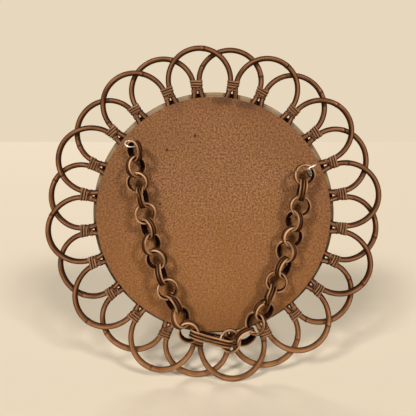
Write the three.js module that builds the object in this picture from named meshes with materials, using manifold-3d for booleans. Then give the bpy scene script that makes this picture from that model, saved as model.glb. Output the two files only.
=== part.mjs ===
// A round wall mirror with a border of interlaced rattan loops, modelled from its hanging side.
// Millimetres, +Z up. The origin is the middle of the hardboard's outer face. +Y points out of that
// face, towards the wall that the mirror hangs on, and the looking glass faces -Y.
// Angles are those that a viewer behind the mirror sees: 0 is to the right (-X) and they grow
// counter-clockwise, through the top (+Z).
import * as THREE from 'three';
import { mergeVertices } from 'three/addons/utils/BufferGeometryUtils.js';
import Module from 'manifold-3d';

const wasm = await Module();
wasm.setup();

// Fits
const fitGap = 0.3; // between pieces that rest against each other
const roundSegments = 36; // facets round the board, the glass and the hoop

// Border of loops
const outerRadius = 254; // middle of the mirror to the outer edge of each loop
const caneRadius = 4.1;
const loopCount = 24;
const firstBindingAngle = 7.5; // degrees
const arcSteps = 12; // straight steps round one loop, between its two feet
const boundGap = 0.4; // between two canes lashed side by side
const crossingGap = 0.35; // from the border's middle plane to a cane that crosses another
const leanEasing = 10; // length over which a cane bends out of the middle plane
const footSplay = 10; // degrees between a foot and the line of its lashing
const footGap = 2; // between the end of a foot and the edge of the glass
// How far each lashing was tied from its even place, in degrees
const bindingDrift = [
  1, 0.7, 0.7, -0.3, 0.7, -1.2, 0, -1.8, -0.3, -1.5, 0.2, -0.8,
  0.2, -0.3, 0.5, 0, 0.5, 0.3, 0, 0.8, 1.5, 1.3, 1, 0.7,
];

// Lashings of split cane
const bindingLength = 13.6; // along the two canes
const bindingRise = 2.6; // its middle, outwards from where the canes come closest
const bindingWall = 0.9;
const sleeveGap = 0.6; // between a lashing and the canes in it

// Hardboard backing
const boardInset = 8; // from the outer edge of the hoop
const boardThickness = 3.2;
const plainRadius = 55; // the flat middle of the board's outer face, which meets a wall

// Hoop of thick cane that frames the glass
const hoopClearance = 6.9; // between the hoop and the lashings
const hoopWidth = 32;
const hoopEdge = 5; // height of its straight inner and outer edges
const hoopCrown = 9; // height of its rounded front above them
const hoopShoulder = 8; // how far the flat of the front is from either edge

// Looking glass
const glassOverlap = 6; // how far it reaches behind the hoop
const glassThickness = 3;

// Screw eyes
const wireRadius = 1.05;
const eyeRadius = 8.2; // to the middle of the wire
const eyeSteps = 12;
const eyeTurn = 325; // degrees of wire round the eye, which isn't closed
const eyeInset = 1.6; // from the edge of the glass to the middle of the shank
const shankInHoop = 7;
const shankStandOff = 1.5; // straight part of the shank outside the board
const drillSides = 8;
const leftBinding = 9; // the lashings that the eyes stand beside, counted from the right
const rightBinding = 1;

// Chain of rings, each three turns of thin cane side by side
const strandRadius = 1.8;
const strandsPerLink = 3;
const linkRadius = 14.2; // to the middle of a strand
const linkSegments = 10;
const linkSlack = 1.8; // how much nearer than taut two linked rings hang
const chainGap = 1; // between the board and the links that turn edge on to it
const longLinkStretch = 33; // how much longer it is than a round link
const longLinkTilt = 15; // degrees, right end down
const longLinkRoll = 106; // degrees out of the plane of the board
const longLinkRoom = 63.7; // along the chain, between the middles of the two links that it joins
const longLinkDrop = 4; // its middle, below halfway between those two
// Each link's turn about the chain, in degrees, and its step to the viewer's right, from the long
// link upwards
const leftChain = {
  rolls: [-5, 55, -55, 10, 85, -15, 50, -50, 15, 85, -5, 48, -46],
  steps: [-5, -1.5, 0, 1, 0, 0, -1, 0.7, 0.7, 1.5, -2.2, -0.7, 2],
};
const rightChain = {
  rolls: [-20, 35, -40, 25, 80, -12, 48, -45, 15, -62, 0, 85, 5],
  steps: [-1.5, 3, 0, -1.6, -3.7, -1.9, 0, -2.6, 0.7, -1.9, 2.2, 0, 0],
};

// Sizes that follow
const caneY = -(boardThickness + fitGap + caneRadius);
const hoopBackY = caneY - caneRadius - fitGap;
const sideOffset = caneRadius + boundGap / 2; // from a lashing's line to the middle of its cane
const pitchAngle = (2 * Math.PI) / loopCount;
const linkWidth = 2 * strandRadius * strandsPerLink;
const linkOuterRadius = linkRadius + strandRadius;
const linkInnerRadius = linkRadius - strandRadius;
const linkPitch = 2 * linkInnerRadius - linkSlack; // along the chain
const chainY = chainGap + linkOuterRadius;
const halvings = 50; // steps to the size of the chain's curve

const radians = THREE.MathUtils.degToRad;
const outward = new THREE.Vector3(0, 1, 0);
// Unit vectors in the plane of the border: away from the middle, and counter-clockwise
const radial = (angle) => new THREE.Vector3(-Math.cos(angle), 0, Math.sin(angle));
const sideways = (angle) => new THREE.Vector3(Math.sin(angle), 0, Math.cos(angle));

// A path that turns only at its points, so a section swept along it is mitred there
class Route extends THREE.Curve {
  constructor(points) {
    super();
    this.points = points;
  }

  getPoint(t, target = new THREE.Vector3()) {
    const place = t * (this.points.length - 1);
    const index = Math.min(Math.floor(place), this.points.length - 2);
    return target.lerpVectors(this.points[index], this.points[index + 1], place - index);
  }

  getUtoTmapping(u) {
    return u;
  }
}

// The corners of a strand's section, as shares of its radius
const strandCorners = [[1, 0], [0.5, 1], [-0.5, 1], [-1, 0], [-0.5, -1], [0.5, -1]];
const strandReach = Math.max(...strandCorners.map(([x, y]) => Math.hypot(x, y)));

function strandSection(radius) {
  return new THREE.Shape(strandCorners.map(([x, y]) => new THREE.Vector2(x * radius, y * radius)));
}

function sweep(points, radius) {
  return new THREE.ExtrudeGeometry(strandSection(radius), {
    steps: points.length - 1,
    extrudePath: new Route(points),
  });
}

function turned(profile, segments = roundSegments) {
  return new THREE.LatheGeometry(profile.map(([r, y]) => new THREE.Vector2(r, y)), segments);
}

// Solids for joining and cutting
function toSolid(geometry) {
  const bare = geometry.clone();
  bare.deleteAttribute('normal');
  bare.deleteAttribute('uv');
  const merged = mergeVertices(bare, 1e-4);
  return new wasm.Manifold(new wasm.Mesh({
    numProp: 3,
    vertProperties: new Float32Array(merged.attributes.position.array),
    triVerts: new Uint32Array(merged.index.array),
  }));
}

function toGeometry(solid) {
  const mesh = solid.getMesh();
  const geometry = new THREE.BufferGeometry();
  geometry.setAttribute('position', new THREE.BufferAttribute(mesh.vertProperties, 3));
  geometry.setIndex(new THREE.BufferAttribute(mesh.triVerts, 1));
  geometry.computeVertexNormals();
  return geometry;
}

// Border: angles of the lashings, and the loop that is centred on each of them
function bindingAngle(index) {
  const drift = bindingDrift[(index + loopCount) % bindingDrift.length];
  return radians(firstBindingAngle + drift) + index * pitchAngle;
}

// A loop springs from the lashings on either side of its own, and its cane runs beside their lines
function loopCircle(halfAngle) {
  const centre = (outerRadius - caneRadius + sideOffset) / (1 + Math.sin(halfAngle));
  return { centre, radius: centre * Math.sin(halfAngle) - sideOffset };
}

const evenLoop = loopCircle(pitchAngle);
const waistRadius = evenLoop.centre * Math.cos(pitchAngle);
const bindingInner = waistRadius + bindingRise - bindingLength / 2;
const bindingOuter = bindingInner + bindingLength;
const hoopOuterRadius = bindingInner - hoopClearance;
const hoopInnerRadius = hoopOuterRadius - hoopWidth;
const boardRadius = hoopOuterRadius - boardInset;
const glassRadius = hoopInnerRadius + glassOverlap;
const footRadius = glassRadius + footGap;
const shankRadius = glassRadius + eyeInset;
const leanStart = bindingOuter * Math.cos(pitchAngle);
const halfPitch = pitchAngle / 2;
const crossingReach = Math.sqrt(evenLoop.radius ** 2 - (evenLoop.centre * Math.sin(halfPitch)) ** 2);
const crossingPlace = (evenLoop.centre * Math.cos(halfPitch) + crossingReach) * Math.cos(halfPitch);
const leanSlope = (caneRadius + crossingGap) / (crossingPlace - leanStart - leanEasing / 2);

// How far a cane stands out of the middle plane, where it is that far along its loop's axis
function lean(along) {
  const past = along - leanStart;
  if (past < 0) return 0;
  return past < leanEasing
    ? (leanSlope * past ** 2) / (2 * leanEasing)
    : leanSlope * (past - leanEasing / 2);
}

// From a point along a direction to the circle on which the feet end
function footLength(point, direction) {
  const along = point.dot(direction);
  return -along - Math.sqrt(along ** 2 - point.lengthSq() + footRadius ** 2);
}

function loopPoints(index) {
  const first = bindingAngle(index - 1);
  const last = bindingAngle(index + 1);
  const middle = (first + last) / 2;
  const half = (last - first) / 2;
  const { centre, radius } = loopCircle(half);
  const step = (Math.PI + 2 * half) / (arcSteps - 1);
  const corner = radius / Math.cos(step / 2);
  const flat = Array.from({ length: arcSteps + 1 }, (_, k) => {
    const turn = (k - 0.5) * step - half;
    return new THREE.Vector2(corner * Math.cos(turn), centre + corner * Math.sin(turn));
  });
  const inward = half + radians(footSplay);
  const direction = new THREE.Vector2(-Math.sin(inward), -Math.cos(inward));
  const foot = flat[0].clone().addScaledVector(direction, footLength(flat[0], direction));
  const path = [foot, ...flat, new THREE.Vector2(-foot.x, foot.y)];
  const layer = index % 2 === 0 ? 1 : -1;
  return path.map(({ x, y }) => radial(middle).multiplyScalar(y)
    .addScaledVector(sideways(middle), x)
    .addScaledVector(outward, caneY + layer * lean(y)));
}

// Distance from a lashing's line to the middle of a cane, where the cane crosses the given radius
function sideAt(points, angle, radius) {
  const along = points.map((point) => point.dot(radial(angle)));
  const side = points.map((point) => Math.abs(point.dot(sideways(angle))));
  let nearest = Infinity;
  for (let k = 1; k < points.length; k += 1) {
    const share = (radius - along[k - 1]) / (along[k] - along[k - 1]);
    if (share >= 0 && share <= 1) {
      nearest = Math.min(nearest, THREE.MathUtils.lerp(side[k - 1], side[k], share));
    }
  }
  return nearest;
}

// Eight points that hug two strand sections side by side
function bindingOutline(halfWidth, halfDepth) {
  const bevel = caneRadius / 2;
  const shoulder = halfWidth - bevel;
  return [
    [halfWidth, bevel],
    [shoulder, halfDepth],
    [-shoulder, halfDepth],
    [-halfWidth, bevel],
    [-halfWidth, -bevel],
    [-shoulder, -halfDepth],
    [shoulder, -halfDepth],
    [halfWidth, -bevel],
  ].map(([x, y]) => new THREE.Vector2(x, y));
}

// A sleeve round two canes that widens outwards as they part
function bindingGeometry(index) {
  const angle = bindingAngle(index);
  const beside = [index - 1, index + 1].map((loop) => loopPoints((loop + loopCount) % loopCount));
  const [narrow, wide] = [bindingInner, bindingOuter].map((radius) => {
    const side = Math.max(...beside.map((points) => sideAt(points, angle, radius)));
    return side + caneRadius + sleeveGap + bindingWall;
  });
  const halfDepth = caneRadius + sleeveGap + bindingWall;
  const shape = new THREE.Shape(bindingOutline(narrow, halfDepth));
  const inside = bindingOutline(narrow - bindingWall, halfDepth - bindingWall);
  shape.holes.push(new THREE.Path(inside));
  const sleeve = new THREE.ExtrudeGeometry(shape, { depth: bindingLength, bevelEnabled: false });
  const place = sleeve.attributes.position;
  for (let k = 0; k < place.count; k += 1) {
    const share = place.getZ(k) / bindingLength;
    place.setX(k, place.getX(k) + Math.sign(place.getX(k)) * (wide - narrow) * share);
  }
  const turn = new THREE.Matrix4().makeBasis(sideways(angle), outward, radial(angle));
  sleeve.applyMatrix4(turn);
  const middle = radial(angle).multiplyScalar(bindingInner).addScaledVector(outward, caneY);
  return sleeve.translate(middle.x, middle.y, middle.z);
}

// Where the top links hang, from the shank of the eye that holds each: to the viewer's right and up
const leftHang = { right: 8.14, up: -4.86 };
const rightHang = { right: -14.31, up: -1.96 };

function shankFoot(binding) {
  return radial(bindingAngle(binding)).multiplyScalar(shankRadius);
}

function hangPoint(binding, { right, up }) {
  const foot = shankFoot(binding);
  return new THREE.Vector2(-foot.x + right, foot.z + up);
}

// The size of the curve in which a chain hangs, found from sinh(share) / share by halving
function curveSize(span, slack) {
  let low = 0;
  let high = Math.log(slack / span) + slack / span;
  for (let step = 0; step < halvings; step += 1) {
    const share = (low + high) / 2;
    if (Math.sinh(share) / share < slack / span) low = share;
    else high = share;
  }
  return span / (low + high);
}

// The chain between its two top links, whose places along it are counted from its lowest point
function hangingChain(left, right) {
  const links = leftChain.rolls.length + rightChain.rolls.length - 2;
  const length = links * linkPitch + longLinkRoom;
  const span = right.x - left.x;
  const rise = right.y - left.y;
  const size = curveSize(span, Math.sqrt(length ** 2 - rise ** 2));
  const half = size * Math.sinh(span / (2 * size));
  const lowest = (left.x + right.x) / 2 - size * Math.asinh(rise / (2 * half));
  const drop = size * (Math.cosh((left.x - lowest) / size) - 1);
  const top = size * Math.sinh((left.x - lowest) / size);
  return { size, right: lowest, up: left.y - drop, leftTop: top, rightTop: top + length };
}

const chain = hangingChain(hangPoint(leftBinding, leftHang), hangPoint(rightBinding, rightHang));

function chainPlace(along) {
  const right = chain.size * Math.asinh(along / chain.size);
  const rise = chain.size * (Math.cosh(right / chain.size) - 1);
  return {
    point: new THREE.Vector3(-chain.right - right, chainY, chain.up + rise),
    slope: Math.atan(Math.sinh(right / chain.size)),
  };
}

// How far along the chain a link's middle is, where the links are counted from the long one
function linkPlace(side, run, index) {
  const top = side > 0 ? chain.rightTop : chain.leftTop;
  return top - side * (run.rolls.length - 1 - index) * linkPitch;
}

// A ring's frame: up runs along the chain, axis is the ring's own and right completes its plane
function linkFrame(side, run, index) {
  const { point, slope } = chainPlace(linkPlace(side, run, index));
  const heading = side > 0 ? slope : Math.PI + slope;
  const up = new THREE.Vector3(-Math.cos(heading), 0, Math.sin(heading));
  const right = new THREE.Vector3(-Math.sin(heading), 0, -Math.cos(heading));
  const roll = radians(run.rolls[index]);
  const axis = outward.clone().multiplyScalar(Math.cos(roll)).addScaledVector(right, Math.sin(roll));
  const across = right.clone().multiplyScalar(Math.cos(roll)).addScaledVector(outward, -Math.sin(roll));
  point.addScaledVector(right, run.steps[index]);
  return { point, up, axis, across };
}

// A ring of strands side by side, pulled out along its X by the stretch
function linkGeometry(stretch = 0) {
  const halfWidth = linkWidth / 2;
  const halfInside = halfWidth - strandRadius;
  const profile = [
    [linkInnerRadius, -halfInside],
    [linkOuterRadius, -halfWidth],
    [linkOuterRadius, halfWidth],
    [linkInnerRadius, halfInside],
    [linkInnerRadius, -halfInside],
  ].map(([r, y]) => new THREE.Vector2(r, y));
  const ring = new THREE.LatheGeometry(profile, linkSegments, Math.PI / linkSegments);
  const place = ring.attributes.position;
  for (let k = 0; k < place.count; k += 1) {
    place.setX(k, place.getX(k) + (Math.sign(place.getX(k)) * stretch) / 2);
  }
  return ring;
}

function placedLink({ point, up, axis }, stretch = 0) {
  const third = new THREE.Vector3().crossVectors(up, axis);
  const frame = new THREE.Matrix4().makeBasis(up, axis, third).setPosition(point);
  return linkGeometry(stretch).applyMatrix4(frame);
}

// The links of one side, without the pinholes that are shut in where two of them touch
function chainRun(side, run) {
  const links = run.rolls.map((_, index) => toSolid(placedLink(linkFrame(side, run, index))));
  const bodies = links.reduce((joined, link) => joined.add(link)).decompose();
  return toGeometry(wasm.Manifold.compose(bodies.filter((body) => body.volume() > 0)));
}

function longLinkGeometry() {
  const tilt = radians(longLinkTilt);
  const roll = radians(longLinkRoll);
  const up = new THREE.Vector3(-Math.cos(tilt), 0, -Math.sin(tilt));
  const rise = new THREE.Vector3(-Math.sin(tilt), 0, Math.cos(tilt));
  const axis = rise.multiplyScalar(Math.sin(roll)).addScaledVector(outward, Math.cos(roll));
  const [left, right] = [[-1, leftChain], [1, rightChain]]
    .map(([side, run]) => chainPlace(linkPlace(side, run, 0)).point);
  const point = left.lerp(right, 0.5).add(new THREE.Vector3(0, 0, -longLinkDrop));
  return placedLink({ point, up, axis }, longLinkStretch);
}

// Screw eyes: each holds the top link of its side by the wall, at the given angle round that link.
// facing is the eye's own axis, as right, outward and up.
const eyes = {
  left: {
    side: -1, run: leftChain, binding: leftBinding, wall: 130, facing: [0.2, 0.5, 0.85], turn: 1,
  },
  right: {
    side: 1, run: rightChain, binding: rightBinding, wall: 60, facing: [-0.44, -0.13, 0.89], turn: -1,
  },
};

function eyePlace({ side, run, binding, wall, facing }) {
  const { point, up, across } = linkFrame(side, run, run.rolls.length - 1);
  const [right, out, above] = facing;
  return {
    foot: shankFoot(binding),
    middle: point.clone()
      .addScaledVector(across, linkRadius * Math.cos(radians(wall)))
      .addScaledVector(up, linkRadius * Math.sin(radians(wall))),
    axis: new THREE.Vector3(-right, out, above).normalize(),
  };
}

function eyeGeometry(eye) {
  const { foot, middle, axis } = eyePlace(eye);
  const toFoot = foot.clone().sub(middle).projectOnPlane(axis).normalize();
  const beside = new THREE.Vector3().crossVectors(axis, toFoot).multiplyScalar(eye.turn);
  const ring = Array.from({ length: eyeSteps + 1 }, (_, k) => {
    const angle = (radians(eyeTurn) * k) / eyeSteps;
    return middle.clone()
      .addScaledVector(toFoot, eyeRadius * Math.cos(angle))
      .addScaledVector(beside, eyeRadius * Math.sin(angle));
  });
  const tip = foot.clone().setY(hoopBackY - shankInHoop);
  const bend = foot.clone().setY(shankStandOff);
  return sweep([tip, bend, ...ring], wireRadius);
}

// Holes for the shanks: right through the board, and as deep as they reach in the hoop
function drill(geometry, bottom, top) {
  const holes = Object.values(eyes).map((eye) => {
    const { foot } = eyePlace(eye);
    const drillRadius = (wireRadius * strandReach + fitGap) / Math.cos(Math.PI / drillSides);
    const hole = new THREE.CylinderGeometry(drillRadius, drillRadius, top - bottom, drillSides);
    return toSolid(hole.translate(foot.x, (top + bottom) / 2, foot.z));
  });
  return toGeometry(holes.reduce((rest, hole) => rest.subtract(hole), toSolid(geometry)));
}

function boardGeometry() {
  const disc = turned([
    [0, -boardThickness],
    [boardRadius, -boardThickness],
    [boardRadius, 0],
    [plainRadius, 0],
    [0, 0],
  ]);
  return drill(disc, -boardThickness - fitGap, fitGap);
}

function hoopGeometry() {
  const edgeY = hoopBackY - hoopEdge;
  const frontY = edgeY - hoopCrown;
  const ring = turned([
    [hoopInnerRadius, hoopBackY],
    [hoopInnerRadius, edgeY],
    [hoopInnerRadius + hoopShoulder, frontY],
    [hoopOuterRadius - hoopShoulder, frontY],
    [hoopOuterRadius, edgeY],
    [hoopOuterRadius, hoopBackY],
    [hoopInnerRadius, hoopBackY],
  ]);
  return drill(ring, hoopBackY - shankInHoop - fitGap, hoopBackY + fitGap);
}

function glassGeometry() {
  const frontY = hoopBackY + fitGap;
  return turned([
    [0, frontY],
    [glassRadius, frontY],
    [glassRadius, frontY + glassThickness],
    [0, frontY + glassThickness],
  ]);
}

// Finishes
const finish = (color, roughness, metalness = 0) => (
  new THREE.MeshStandardMaterial({ color, roughness, metalness })
);
const hardboard = finish(0x96643f, 0.85);
const hoopCane = finish(0x9a7d55, 0.6);
const smokedCane = finish(0x6b3a1c, 0.4);
const splitCane = finish(0x8a5a34, 0.5);
const chainCane = finish(0x7a4a28, 0.45);
const steel = finish(0xc9c4bc, 0.3, 1);
const looking = finish(0xdfe4e6, 0.03, 1);

const mirror = new THREE.Group();

function add(name, geometry, material) {
  const piece = new THREE.Mesh(geometry, material);
  piece.name = name;
  mirror.add(piece);
}

add('hardboard_back', boardGeometry(), hardboard);
add('hoop', hoopGeometry(), hoopCane);
add('mirror_glass', glassGeometry(), looking);
for (let index = 0; index < loopCount; index += 1) {
  const number = String(index + 1).padStart(2, '0');
  add(`loop_${number}`, sweep(loopPoints(index), caneRadius), smokedCane);
  add(`binding_${number}`, bindingGeometry(index), splitCane);
}
add('screw_eye_left', eyeGeometry(eyes.left), steel);
add('screw_eye_right', eyeGeometry(eyes.right), steel);
add('chain_left', chainRun(-1, leftChain), chainCane);
add('chain_long_link', longLinkGeometry(), chainCane);
add('chain_right', chainRun(1, rightChain), chainCane);

export default mirror;
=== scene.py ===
# The finish of a round wall mirror with a border of interlaced rattan loops, seen from its hanging side.
# Metres, +Z up. The origin is the middle of the hardboard's outer face, and +Y points out of that face.
# Angles are those that a viewer behind the mirror sees: 0 to the right (-X), growing counter-clockwise.
import math
import random

import bmesh
import bpy
import numpy as np
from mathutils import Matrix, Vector


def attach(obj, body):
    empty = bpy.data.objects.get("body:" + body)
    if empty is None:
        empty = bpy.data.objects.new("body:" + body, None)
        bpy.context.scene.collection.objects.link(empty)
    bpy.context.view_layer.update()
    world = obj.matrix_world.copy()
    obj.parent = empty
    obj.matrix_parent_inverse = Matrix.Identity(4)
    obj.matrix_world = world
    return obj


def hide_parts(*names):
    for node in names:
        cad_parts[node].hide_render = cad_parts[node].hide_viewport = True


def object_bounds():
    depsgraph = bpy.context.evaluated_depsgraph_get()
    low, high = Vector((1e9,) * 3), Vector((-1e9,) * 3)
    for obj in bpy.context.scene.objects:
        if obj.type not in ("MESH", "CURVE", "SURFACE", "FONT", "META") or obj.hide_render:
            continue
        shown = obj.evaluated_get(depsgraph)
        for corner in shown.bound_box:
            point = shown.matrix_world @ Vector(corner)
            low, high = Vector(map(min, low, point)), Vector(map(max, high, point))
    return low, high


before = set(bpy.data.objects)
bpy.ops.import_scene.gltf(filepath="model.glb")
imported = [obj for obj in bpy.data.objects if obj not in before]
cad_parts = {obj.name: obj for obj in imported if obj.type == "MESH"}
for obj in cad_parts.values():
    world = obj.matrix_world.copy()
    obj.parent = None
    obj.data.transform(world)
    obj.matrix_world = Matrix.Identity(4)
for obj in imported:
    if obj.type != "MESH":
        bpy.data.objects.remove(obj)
cad_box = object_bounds()
rng = random.Random(24)

MM = 0.001
ROUND = 2 * math.pi

# Random phases of waves, random shifts of the materials' patterns, and a bit over a wave's height
ANY_PHASE = (0, 6.28)
PATTERN_SHIFT = (0, 5)
WAVE_PEAK = 1.9

# Border
OUTER_RADIUS = 254 * MM
CANE_RADIUS = 4.1 * MM
LOOP_COUNT = 24
FIT_GAP = 0.3 * MM
SIDE_OFFSET = CANE_RADIUS + 0.2 * MM
CROSSING_GAP = 0.35 * MM
LEAN_EASING = 10 * MM
FOOT_SPLAY = math.radians(10)
FOOT_STRAIGHT = 3 * MM
FOOT_BEND = 9 * MM
FOOT_BEND_STEPS = 8
FOOT_POINTS = 10
ARC_POINTS = 58
CANE_SIDES = 20
BINDING_LENGTH = 13.6 * MM
BINDING_RISE = 2.6 * MM

# Where the lashings stand, in degrees: the first one, and how far each is off an even spacing
FIRST_BINDING = 7.5
BINDING_DRIFT = [
    1, 0.7, 0.7, -0.3, 0.7, -1.2, 0, -1.8, -0.3, -1.5, 0.2, -0.8,
    0.2, -0.3, 0.5, 0, 0.5, 0.3, 0, 0.8, 1.5, 1.3, 1, 0.7,
]

# Unevenness of the canes: how far a cane sways, and its radius as a share of the solid's
CANE_SWAY = 0.25 * MM
SWAY_END_ROOM = 50 * MM
SWAY_EASING = 20 * MM
CANE_SHARE = 0.985
CANE_UNEVENNESS = 0.02
END_SHARE = 0.82

# Growth rings: their places along a cane
FIRST_RING = (45 * MM, 160 * MM)
RING_STEP = (100 * MM, 190 * MM)
RING_END_ROOM = 30 * MM

# Forms of a growth ring: height, middle in mm and reach in mm. The first two swell or narrow the
# cane by a share of its radius, the last two darken or lighten it.
RING_SWELL = (0.085, 0, 2.6)
RING_GROOVE = (0.05, 1.2, 0.7)
RING_LINE = (1, 1, 1)
RING_PALE = (0.22, -2.2, 1.6)

# Heights between which the canes lose their painted shade on the flanks and grow golden
SHADE_FADE_AND_GOLD_FROM = -120 * MM
SHADE_FADE_TO = -220 * MM
GOLDEN_TO = -240 * MM

# Lashings of split cane. Each strip is its width, its thickness and its lift off the cane.
MAIN_STRIP = (3.4 * MM, 0.95 * MM, 0.45 * MM)
NECK_STRIP = (2.3 * MM, 0.7 * MM, 0.2 * MM)
TAIL_STRIP = (2.3 * MM, 0.7 * MM, 0.25 * MM)
MAIN_TURNS = 3
MAIN_PITCH = 3.9 * MM
MAIN_SLANT = (0.4 * MM, 0.9 * MM)
MAIN_SLIDE = (0, 0.4 * MM)
NECK_TURNS = [1, 1.5]
NECK_PITCH = -2 * MM
NECK_DROP = (0.7 * MM, 1.1 * MM)
TAIL_TURNS = [1.2, 1.6, 2.0]
TAIL_PITCH = -1.9 * MM
TAIL_DROP = 2 * MM
BINDING_SEARCH = 20 * MM
BINDING_BELOW = 14 * MM
BINDING_LEVELS = 24
LEVEL_END = 0.65
WIND_POINTS = 44
TAIL_POINTS = 26

# A strip's section, across in half widths and out in thicknesses, and how dark it is there: painted shade
# at the edges and a painted highlight on the crown
STRIP_SECTION = np.array([
    [-1, -0.45], [-1, -0.1], [-0.85, 0.3], [-0.45, 0.6], [0, 0.68],
    [0.45, 0.6], [0.85, 0.3], [1, -0.1], [1, -0.45],
])
STRIP_SHADE_AND_HIGHLIGHT = np.array([1, 0.95, 0.6, -0.25, -0.4, -0.25, 0.6, 0.95, 1])

# Hardboard, hoop and glass
HOOP_CLEARANCE = 6.9 * MM
HOOP_WIDTH = 32 * MM
HOOP_EDGE = 5 * MM
HOOP_CROWN = 9 * MM
BOARD_INSET = 8 * MM
BOARD_THICKNESS = 3.2 * MM
GLASS_OVERLAP = 6 * MM
GLASS_THICKNESS = 3 * MM
FOOT_GAP = 2 * MM
RIM_ROOM = 0.2 * MM
BOARD_WOBBLE = 0.18 * MM
BOARD_ROUNDING = 0.35 * MM
BOARD_SEGMENTS = 240
GLASS_ROUNDING = 0.3 * MM
GLASS_SEGMENTS = 180
HOOP_WOBBLE = 0.12 * MM
HOOP_CHAMFER = 0.8 * MM
HOOP_SEGMENTS = 360
CROWN_POINTS = 19
CROWN_FULLNESS = 0.8
ROUNDING_POINTS = 4
WOBBLE_WAVES = (3, 5, 8, 13, 21)

# Screw eyes
WIRE_RADIUS = 1.05 * MM
EYE_RADIUS = 8.2 * MM
EYE_TURN = math.radians(325)
EYE_INSET = 1.6 * MM
EYE_BEND = 1.5 * MM
EYE_POINTS = 40
WIRE_SIDES = 14
SHANK_IN_HOOP = 7 * MM
WIRE_IN_BOARD = 3 * MM
LEFT_BINDING = 9
RIGHT_BINDING = 1
THREAD_TOP = 6.2 * MM
THREAD_PITCH = 1.75 * MM
THREAD_CORE = 1.15 * MM
THREAD_RIDGE = 1.2 * MM
THREAD_FADE = 2 * MM
THREAD_POINT = 3 * MM
THREAD_HOLLOW = 0.7 * MM
THREAD_STEPS = 150
THREAD_SIDES = 24
COIL_TURNS = 3.2
COIL_WIRE = 0.4 * MM
COIL_POINTS = 110
COIL_SIDES = 8
COIL_REACH = (6.1 * MM, 1.3 * MM)
COIL_RISE = (0.8 * MM, 5 * MM)

# Chain
STRAND_RADIUS = 1.8 * MM
STRAND_SHARE = 0.95
STRAND_UNEVENNESS = 0.03
LINK_RADIUS = 14.2 * MM
LINK_SLACK = 1.8 * MM
LINK_LANES = 3
LINK_SIDES = 12
LINK_POINTS = 46
LINK_SWAY = 0.25 * MM
LANE_SWAY = 0.18 * MM
LANE_CHANGE = math.radians(48)
LINK_OPENING = 0.4 * LANE_CHANGE
OUT_OF_ROUND = 0.012
TUCK = 0.9 * MM
TUCK_REACH = 0.12
LANE_GAP = 2 * STRAND_RADIUS
CHAIN_GAP = 1 * MM
LONG_STRETCH = 33 * MM
LONG_TILT = math.radians(15)
LONG_ROLL = math.radians(106)
LONG_ROOM = 63.7 * MM
LONG_DROP = 4 * MM
LONG_POINTS = 60
LONG_START = math.radians(215)

# The sine of the angle past which a link is pulled out by its whole stretch
PULL_SINE = 0.35

# Where the two top links hang, to the right and up from the feet of their screw eyes
LEFT_HANG = (8.14 * MM, -4.86 * MM)
RIGHT_HANG = (-14.31 * MM, -1.96 * MM)

# From the long link up: how far each link is rolled, in degrees, and how far it is off the curve, in mm
LEFT_ROLLS = [-5, 55, -55, 10, 85, -15, 50, -50, 15, 85, -5, 48, -46]
LEFT_STEPS = [-5, -1.5, 0, 1, 0, 0, -1, 0.7, 0.7, 1.5, -2.2, -0.7, 2]
RIGHT_ROLLS = [-20, 35, -40, 25, 80, -12, 48, -45, 15, -62, 0, 85, 5]
RIGHT_STEPS = [-1.5, 3, 0, -1.6, -3.7, -1.9, 0, -2.6, 0.7, -1.9, 2.2, 0, 0]

# Tones of the board: warmer towards the bottom, darker towards the rim, stained under the top edge
WARM_BAND = (-170 * MM, 50 * MM)
DARK_BAND = (90 * MM, 178 * MM)
STAIN_BAND = (140 * MM, 172 * MM)

# Marks on the back of the board: X, Z and reach in mm, and strength
SPECKS = [(27.7, 117.3, 2.9, 1), (69.7, 96.3, 2.9, 1), (80.2, 15.3, 2.7, 1)]
SMUDGES = [
    (-2, 170, 7, 0.35), (-12, 170, 9, 0.45), (-22, 169, 9, 0.45),
    (-38, 165, 7, 0.4), (-46, 164, 8, 0.45), (-55, 162, 7, 0.4),
]

# Painted shade round the holes of the screw eyes: reach in mm and strength
HOLE_SHADE = (7, 0.85)

# Painted shade on the back of the hoop: its reach round the feet, its width from the outer edge, the sine
# of the angle where it begins and the span in which it grows, its strength, and its patches
HOOP_SHADE_REACH = 9 * MM
HOOP_SHADE_WIDTH = 14 * MM
HOOP_SHADE_START = 0.3
HOOP_SHADE_SPAN = 0.45
HOOP_SHADE_STRENGTH = 0.62
HOOP_SHADE_PATCHES = [(17, 2, 0.12), (41, 0, 0.1)]

# Links: the strength of their painted rim highlight and how dark a link and the long one are, how much
# the highlight varies, and the side where it is painted strongest: up, outwards and to the left
LINK_HIGHLIGHT_AND_DARKNESS = (0.8, 0.1)
LONG_HIGHLIGHT_AND_DARKNESS = (0.95, 0.02)
PATCHINESS = 0.25
HIGHLIGHT_SIDE = np.array([0.55, 0.35, 0.75])

# Colours of the hardboard
FIBRE_DARK = (0.085, 0.022, 0.001, 1)
FIBRE_LIGHT = (0.335, 0.175, 0.086, 1)
CLOUD_BROWN = (0.13, 0.055, 0.022, 1)
OLIVE_TINGE = (0.2, 0.1, 0.02, 1)
RED_TINGE = (0.24, 0.1, 0.065, 1)
PALE_CHIP = (0.55, 0.36, 0.19, 1)
WARM_BROWN = (0.29, 0.115, 0.024, 1)
RIM_BROWN = (0.12, 0.045, 0.014, 1)
STAIN_BROWN = (0.075, 0.032, 0.017, 1)
SPECK_BLACK = (0.03, 0.015, 0.01, 1)

# Colours of the hoop, the wire and the glass
PALE_RIBS = [(0.1, 0.06, 0.027, 1), (0.31, 0.2, 0.1, 1)]
BROWN_RIBS = [(0.075, 0.03, 0.013, 1), (0.25, 0.11, 0.048, 1)]
DUST = (0.25, 0.21, 0.13, 1)
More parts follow.
